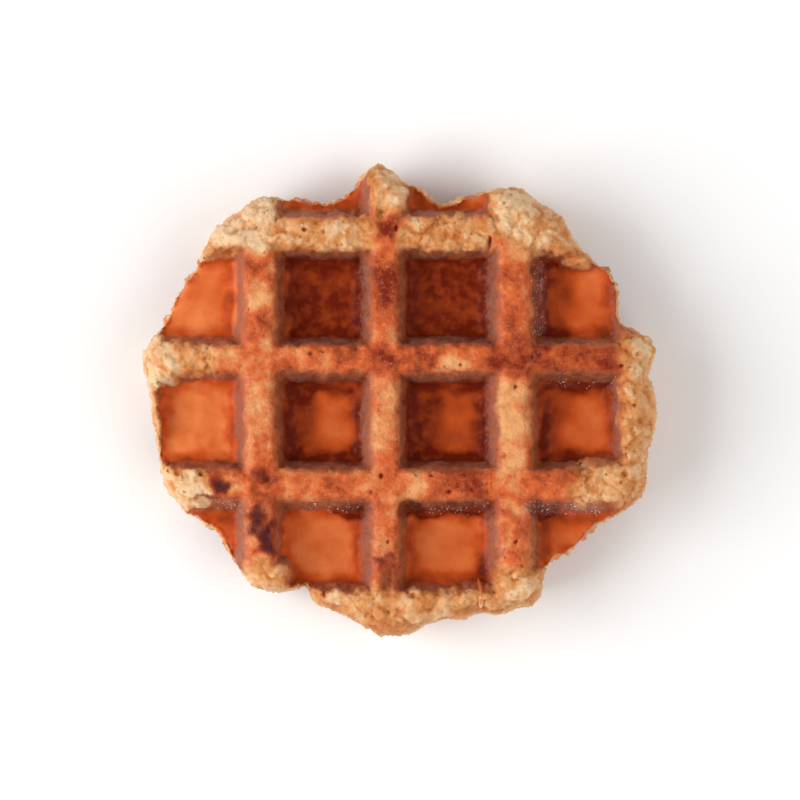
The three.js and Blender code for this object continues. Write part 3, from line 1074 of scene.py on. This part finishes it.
def crust_fields(tree, noise, place):
    """What the crust is like at each point, by name: its mesh's fields, and what follows from them."""
    field = {name: add(tree, "ShaderNodeAttribute", out="Fac", attribute_name=name) for name in FIELDS}
    # The floors of the pockets have no pores.
    pore = holes_in_cells(tree, place, 1 / (PORE_SPACING * MM), PORE_ODDS, PORE_EDGE)
    field["pore"] = add(tree, MATH, (pore, field["ridge"]), operation="MULTIPLY")
    field["crest"] = add(tree, SPAN, {"Value": field["ridge"], "From Min": CREST_START})
    field["crumb"] = crumb_field(tree, noise, field)
    field["burnt"] = swayed(tree, field["scorch"], noise, SWAYS["burnt"])
    field["fleck"] = add(tree, MATH, (noise["fleck"], field["tone"]), operation="MULTIPLY")
    # The painted glints of fine sugar lie on the ridges, not on the floors.
    field["glint"] = add(tree, MATH, (noise["glint"], field["ridge"]), operation="MULTIPLY")
    # Frost of sugar where its crystals show, partly a painted highlight.
    frost = swayed(tree, field["sugar"], noise, SWAYS["frost"])
    field["frost"] = add(tree, MATH, (frost, field["sugar"]), operation="MULTIPLY")
    # Painted sheen: the walls that face -X are lightened to a pinkish grey, as if lit from that side.
    facing = add(tree, "ShaderNodeNewGeometry", out="Normal")
    facing = add(tree, "ShaderNodeSeparateXYZ", (facing,), out="X")
    bloom = add(tree, MATH, (facing, -1.0), operation="MULTIPLY")
    field["bloom"] = swayed(tree, bloom, noise, SWAYS["bloom"])
    return field


def crumb_field(tree, noise, field):
    """1 on crumb and 0 on crust. The floors of the pockets are crumb only where their rim is torn."""
    thick = add(tree, SPAN, {"Value": field["ridge"]} | WEB_PALENESS)
    torn = add(tree, SPAN, {"Value": field["rim"]} | TORN_PALENESS)
    thick = add(tree, MATH, (thick, torn), operation="MAXIMUM")
    pale = add(tree, MATH, (field["pale"], thick), operation="MULTIPLY")
    pale = swayed(tree, pale, noise, SWAYS["crumb"])
    return add(tree, SPAN, {"Value": pale} | CRUMB_PALENESS, **SMOOTH)


def zone_places(tree, noise, field):
    """How far each zone baked, from 0 to 1, by its name, with painted shade at the walls' feet and deep
    in the crumb's folds.
    """
    # Towards the walls' feet the floors darken: partly melted sugar that browned more there, partly
    # painted shade where floor meets wall.
    near = swayed(tree, field["near"], noise, SWAYS["near"])
    near = add(tree, SPAN, {"Value": near} | FEET_BROWNING_AND_SHADE, **SMOOTH)
    floor = add(tree, MATH, (near, field["tone"]), operation="ADD")
    # A wall is darker towards its foot, which is painted shade, and over a dark floor.
    wall = WALL_START
    for name, share in WALL_FOLLOWS.items():
        wall = add(tree, MATH, (field[name], share, wall), operation="MULTIPLY_ADD")
    # Next to pale dough the crust is only golden.
    crest = add(tree, MATH, (field["pale"], BESIDE_PALE, field["bake"]), operation="MULTIPLY_ADD")
    # Crumb is painted darker deep in its folds, as shade, and lightest where the iron hardly touched it.
    fold = {"Value": field["relief"], "From Min": HIGH_FOLD, "From Max": DEEP_FOLD}
    fold = add(tree, SPAN, fold, clamp=False)
    browned = add(tree, SPAN, {"Value": field["pale"]} | PALENESS_LIGHTENS)
    crumb = add(tree, MATH, (fold, PAINTED_FOLD_SHADE, browned), operation="MULTIPLY_ADD")
    return {"floors": floor, "walls": wall, "crests": crest, "crumbs": crumb}


def zone_colour(tree, noise, colours, zone, place):
    """The colour of one zone, read off its stops at a place that the noises sway."""
    colour = add(tree, "ShaderNodeValToRGB", (swayed(tree, place, noise, zone.sway),))
    stops = colour.node.color_ramp.elements
    while len(stops) < len(zone.stops):
        stops.new(1.0)
    for stop, (position, name) in zip(stops, zone.stops):
        stop.position = position
        stop.color = (*getattr(colours, name), 1)
    return colour


def crust_colour(tree, noise, field, colours):
    """The colour of the crust, layer over layer, from the floors of the pockets up."""
    places = zone_places(tree, noise, field)
    zones = {name: zone_colour(tree, noise, colours, zone, places[name]) for name, zone in ZONES.items()}
    colour = zones["floors"]
    for layer in LAYERS:
        over = zones[layer.over] if layer.over in zones else (*getattr(colours, layer.over), 1)
        share = {"Value": field[layer.value], "From Min": layer.low, "From Max": layer.high}
        share = add(tree, SPAN, share | {"To Max": layer.most}, **SMOOTH)
        mixed = {0: share, COLOUR_A: colour, COLOUR_B: over}
        colour = add(tree, MIX, mixed, out=COLOUR_MIXED, data_type="RGBA")
    return colour


def crust_roughness(tree, noise, field):
    """How rough the crust is: least on the glazed floors, most on crumb."""
    rough = add(tree, SPAN, {"Value": field["near"]} | FLOOR_ROUGHNESS)
    mixed = {0: field["crumb"], NUMBER_A: rough, NUMBER_B: CRUMB_ROUGHNESS}
    rough = add(tree, MIX, mixed, data_type="FLOAT")
    return swayed(tree, rough, noise, SWAYS["roughness"])


def crust_glaze(tree, field):
    """How much melted sugar glazes the crust."""
    glaze = add(tree, SPAN, {"Value": field["near"]} | FLOOR_GLAZE)
    for name, amount in GLAZES.items():
        mixed = {0: field[name], NUMBER_A: glaze, NUMBER_B: amount}
        glaze = add(tree, MIX, mixed, data_type="FLOAT")
    return glaze


def crust_bump(tree, noise, field):
    """What is too fine for the mesh: grain and pores, low on the glazed floors."""
    height = add(tree, MATH, (noise["grain"], GRAIN_BUMP, noise["mottle"]), operation="MULTIPLY_ADD")
    height = add(tree, MATH, (field["pore"], PORE_BUMP, height), operation="MULTIPLY_ADD")
    strength = add(tree, SPAN, {"Value": field["ridge"]} | BUMP_STRENGTH)
    mixed = {0: field["crumb"], NUMBER_A: strength, NUMBER_B: CRUMB_BUMP}
    strength = add(tree, MIX, mixed, data_type="FLOAT")
    bump = {"Strength": strength, "Distance": BUMP_DEPTH * MM, "Height": height}
    return add(tree, "ShaderNodeBump", bump)


def crust_material(colours):
    """Baked, caramelised yeast dough.

    The plates dried and browned it, and melted sugar glazed it: the pockets are glossy and run
    from orange to dark red-brown, the ridges are satin and mottled, and the dough that the
    plates missed is matt, pale and wrinkled.
    """
    material, tree = new_material("caramelised_yeast_crust")
    place = add(tree, "ShaderNodeTexCoord", out="Object")
    noise = crust_noises(tree, place)
    field = crust_fields(tree, noise, place)
    surface = {
        "Base Color": crust_colour(tree, noise, field, colours),
        "Roughness": crust_roughness(tree, noise, field),
        "Coat Weight": crust_glaze(tree, field),
        "Normal": crust_bump(tree, noise, field),
    }
    finish_material(tree, surface | CRUST_FINISH)
    return material


def plain_material(name, code, finish):
    """A material of one colour, broken up by a fine grain."""
    material, tree = new_material(name)
    place = add(tree, "ShaderNodeTexCoord", out="Object")
    grain = add(tree, NOISE, {"Vector": place, "Scale": 1 / (GRAIN_WIDTH * MM), "Detail": 2.0})
    bright = linear(code)
    dark = [GRAIN_SHADE * part for part in bright]
    mixed = {0: grain, COLOUR_A: (*bright, 1), COLOUR_B: (*dark, 1)}
    colour = add(tree, MIX, mixed, out=COLOUR_MIXED, data_type="RGBA")
    finish_material(tree, {"Base Color": colour} | finish)
    return material


def crystal_material():
    """Pearl sugar that didn't quite melt: glassy, pale and faintly pink grains that glint."""
    finish = {"Roughness": 0.1, "IOR": 1.54, "Coat Weight": 1.0, "Coat Roughness": 0.04}
    return plain_material("half_melted_pearl_sugar", "#d9bfb2", finish)


def caramel_material():
    """Set caramel: clear amber, wet-looking, with a sharp glint along its back."""
    finish = {"Roughness": 0.12, "IOR": 1.5, "Coat Weight": 1.0, "Coat Roughness": 0.03}
    return plain_material("set_caramel", "#e58a3a", finish)


def nub_material():
    """Dry nubs of baked crumb: matt and cream, like the palest dough."""
    return plain_material("dry_crumb", "#f0cf9f", {"Roughness": 0.8})


def floor_material():
    """White paper: matt, so it lights the side of the waffle and mirrors nothing."""
    material, tree = new_material("white_paper")
    finish_material(tree, {"Base Color": (*linear("#fcfcfc"), 1), "Roughness": 0.9})
    return material


# ---------------------------------------------------------------------------------------------
# Operators.
# ---------------------------------------------------------------------------------------------


def settle(piece):
    """Ties a finished piece to the waffle's body, and hides the solid."""
    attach(piece, BODY)
    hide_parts(SOLID)


def new_piece(name, data):
    """An object in the scene."""
    piece = bpy.data.objects.new(name, data)
    bpy.context.scene.collection.objects.link(piece)
    return piece


def new_mesh(name, points, faces):
    """A mesh from points in millimetres."""
    mesh = bpy.data.meshes.new(name)
    mesh.from_pydata((points * MM).tolist(), [], faces.tolist())
    mesh.validate()
    return mesh


def thinned(piece, triangles):
    """Thins a piece's mesh to a number of triangles, first where it is flattest."""
    now = sum(len(face.vertices) - 2 for face in piece.data.polygons)
    modifier = piece.modifiers.new("Thin", "DECIMATE")
    modifier.ratio = min(1.0, triangles / now)
    applied(piece, modifier)


def inputs_of(names, settings):
    """A tree's inputs of those names, set to what a property group says."""
    return {name: getattr(settings, name.lower().replace(" ", "_")) for name in names}


class WAFFLE_OT_dough(bpy.types.Operator):
    """Make the blank of dough, press the lattice into it and raise its crumb"""

    bl_idname = "waffle.dough"
    bl_label = "Bake the Dough"

    def execute(self, context):
        sizes = context.scene.waffle_dough
        points, faces, rim = dough_blank(sizes.cell)
        piece = new_piece("crust", new_mesh("crust", points, faces))
        for name, values in baking(points, rim).items():
            attribute = piece.data.attributes.new(name, "FLOAT", "POINT")
            attribute.data.foreach_set("value", values.astype(np.float32))
        crust = crust_material(context.scene.waffle_colours)
        press = inputs_of(PRESS_SIZES, sizes) | {"Middle": MIDDLE * MM, "Crust": crust}
        run_tree(piece, press_tree(), press)
        relief = inputs_of(RELIEF_SIZES, sizes) | {"Crust": crust}
        relief |= {"Floor": CAD_BOX[0][2], "Ceiling": CAD_BOX[1][2] + PROUD * MM}
        run_tree(piece, relief_tree(), relief)
        thinned(piece, sizes.triangles)
        piece.data.shade_smooth()
        settle(piece)
        return {"FINISHED"}


def scatter(name, shape, field, smooth, values):
    """A piece of grains that lie on the crust."""
    piece = new_piece(name, bpy.data.objects["crust"].data.copy())
    run_tree(piece, scatter_tree(name, shape, field, smooth), values)
    if not piece.data.polygons:
        raise RuntimeError(f"no {name} lie on the crust")
    settle(piece)


class WAFFLE_OT_sugar(bpy.types.Operator):
    """Scatter the sugar crystals that didn't quite melt"""

    bl_idname = "waffle.sugar"
    bl_label = "Scatter the Sugar"

    def execute(self, context):
        sizes = context.scene.waffle_grains
        values = {"Width": sizes.crystal, "Spacing": sizes.crystal_spacing, "Seed": sizes.seed}
        values["Material"] = crystal_material()
        scatter("sugar_crystals", crystal_shape, "sugar", smooth=False, values=values)
        return {"FINISHED"}


class WAFFLE_OT_nubs(bpy.types.Operator):
    """Scatter the nubs of crumb that stand on the pale dough"""

    bl_idname = "waffle.nubs"
    bl_label = "Scatter the Nubs"

    def execute(self, context):
        sizes = context.scene.waffle_grains
        values = {"Width": sizes.nub, "Spacing": sizes.nub_spacing, "Seed": sizes.seed}
        values["Material"] = nub_material()
        scatter("crumb_nubs", nub_shape, "nubs", smooth=True, values=values)
        return {"FINISHED"}


# How finely the caramel's tube is stepped, round it and along it.
DRIP_ROUND_STEPS = 4
DRIP_LONG_STEPS = 8


def drip_on(crust):
    """The drip as a curve that lies on the crust."""
    curve = bpy.data.curves.new("caramel_drip", "CURVE")
    curve.dimensions = "3D"
    curve.bevel_depth = MM
    curve.bevel_resolution = DRIP_ROUND_STEPS
    curve.use_fill_caps = True
    run = curve.splines.new("NURBS")
    run.points.add(len(DRIP) - 1)
    run.use_endpoint_u = True
    run.resolution_u = DRIP_LONG_STEPS
    for point, (x, y, radius) in zip(run.points, DRIP):
        hit = crust.ray_cast(Vector((x * MM, y * MM, 2 * THICKNESS * MM)), Vector((0, 0, -1)))[0]
        if hit is None:
            raise RuntimeError("the caramel drip runs off the crust")
        point.co = (*hit, 1)
        point.radius = radius
    return curve


class WAFFLE_OT_drip(bpy.types.Operator):
    """Run the drip of caramel over the lip"""

    bl_idname = "waffle.drip"
    bl_label = "Run the Caramel"

    def execute(self, context):
        seen = context.evaluated_depsgraph_get()
        crust = BVHTree.FromObject(bpy.data.objects["crust"], seen)
        run = new_piece("caramel_drip", drip_on(crust))
        mesh = bpy.data.meshes.new_from_object(run)
        bpy.data.objects.remove(run)
        mesh.materials.append(caramel_material())
        mesh.shade_smooth()
        settle(new_piece("caramel_drip", mesh))
        return {"FINISHED"}


FLOOR_HALF = 3000.0  # half the floor's width, in millimetres

# Where the softboxes hang and how wide they are, in metres, by the names of their powers.
SOFTBOXES = {"key": ((-1.3, -0.1, 1.0), 1.4), "fill": ((1.3, -0.4, 1.4), 1.9)}

# How steeply one looks up where the walls end and where the ceiling begins: 1 is straight up.
CEILING_BEGINS = {"From Min": 0.3, "From Max": 0.9}

FARTHEST = 10.0  # metres that the camera sees


class WAFFLE_OT_stage(bpy.types.Operator):
    """Lay the pale floor, and set the lights and the camera"""

    bl_idname = "waffle.stage"
    bl_label = "Set the Stage"

    def execute(self, context):
        stage = context.scene.waffle_stage
        corners = FLOOR_HALF * np.array([(-1, -1, 0), (1, -1, 0), (1, 1, 0), (-1, 1, 0)])
        floor = new_piece("floor", new_mesh("floor", corners, np.array([[0, 1, 2, 3]])))
        floor.data.materials.append(floor_material())
        for name, (place, size) in SOFTBOXES.items():
            softbox(name, place, size, getattr(stage, name))
        context.scene.world = studio(stage)
        context.scene.view_settings.view_transform = "Standard"
        context.scene.camera = camera_above(stage)
        return {"FINISHED"}


def softbox(name, place, size, power):
    """A square area light that faces the waffle."""
    light = bpy.data.lights.new(name, "AREA")
    light.size = size
    light.energy = power
    box = new_piece(name, light)
    box.location = place
    box.rotation_euler = (-Vector(place)).to_track_quat("-Z", "Y").to_euler()


def studio(stage):
    """A studio with bright walls and a dimmer ceiling, so that flat glaze stays dark and rich."""
    world = bpy.data.worlds.new("studio")
    world.use_nodes = True
    tree = world.node_tree
    tree.nodes.clear()
    way = add(tree, "ShaderNodeTexCoord", out="Generated")
    steepness = add(tree, "ShaderNodeSeparateXYZ", (way,), out="Z")
    light = {"Value": steepness, "To Min": stage.walls, "To Max": stage.ceiling}
    light = add(tree, SPAN, light | CEILING_BEGINS, **SMOOTH)
    background = add(tree, "ShaderNodeBackground", {"Strength": light})
    add(tree, "ShaderNodeOutputWorld", (background,))
    return world


def camera_above(stage):
    """A camera that looks straight down on the waffle's middle."""
    camera = bpy.data.cameras.new("camera")
    camera.lens = stage.lens
    camera.clip_end = FARTHEST
    eye = new_piece("camera", camera)
    eye.location = (0, 0, MIDDLE * MM + stage.width * stage.lens / camera.sensor_width)
    return eye


class WAFFLE_PT_panel(bpy.types.Panel):
    """Lists the steps that make the waffle"""

    bl_label = "Liège Waffle"
    bl_space_type = "VIEW_3D"
    bl_region_type = "UI"
    bl_category = "Waffle"

    def draw(self, context):
        for step in STEPS:
            self.layout.operator(step.bl_idname)


STEPS = (WAFFLE_OT_dough, WAFFLE_OT_sugar, WAFFLE_OT_nubs, WAFFLE_OT_drip, WAFFLE_OT_stage)
SETTINGS = {
    "waffle_dough": WaffleDough,
    "waffle_grains": WaffleGrains,
    "waffle_colours": WaffleColours,
    "waffle_stage": WaffleStage,
}
CLASSES = (*SETTINGS.values(), *STEPS, WAFFLE_PT_panel)


def register():
    """Makes the steps, their settings and the panel known."""
    for one in CLASSES:
        bpy.utils.register_class(one)
    for name, group in SETTINGS.items():
        setattr(bpy.types.Scene, name, bpy.props.PointerProperty(type=group))


def unregister():
    """Takes them away again."""
    for name in SETTINGS:
        delattr(bpy.types.Scene, name)
    for one in reversed(CLASSES):
        bpy.utils.unregister_class(one)


def main():
    """Makes the whole waffle and its stage."""
    register()
    bpy.ops.waffle.dough()
    bpy.ops.waffle.sugar()
    bpy.ops.waffle.nubs()
    bpy.ops.waffle.drip()
    bpy.ops.waffle.stage()


if __name__ == "__main__":
    main()
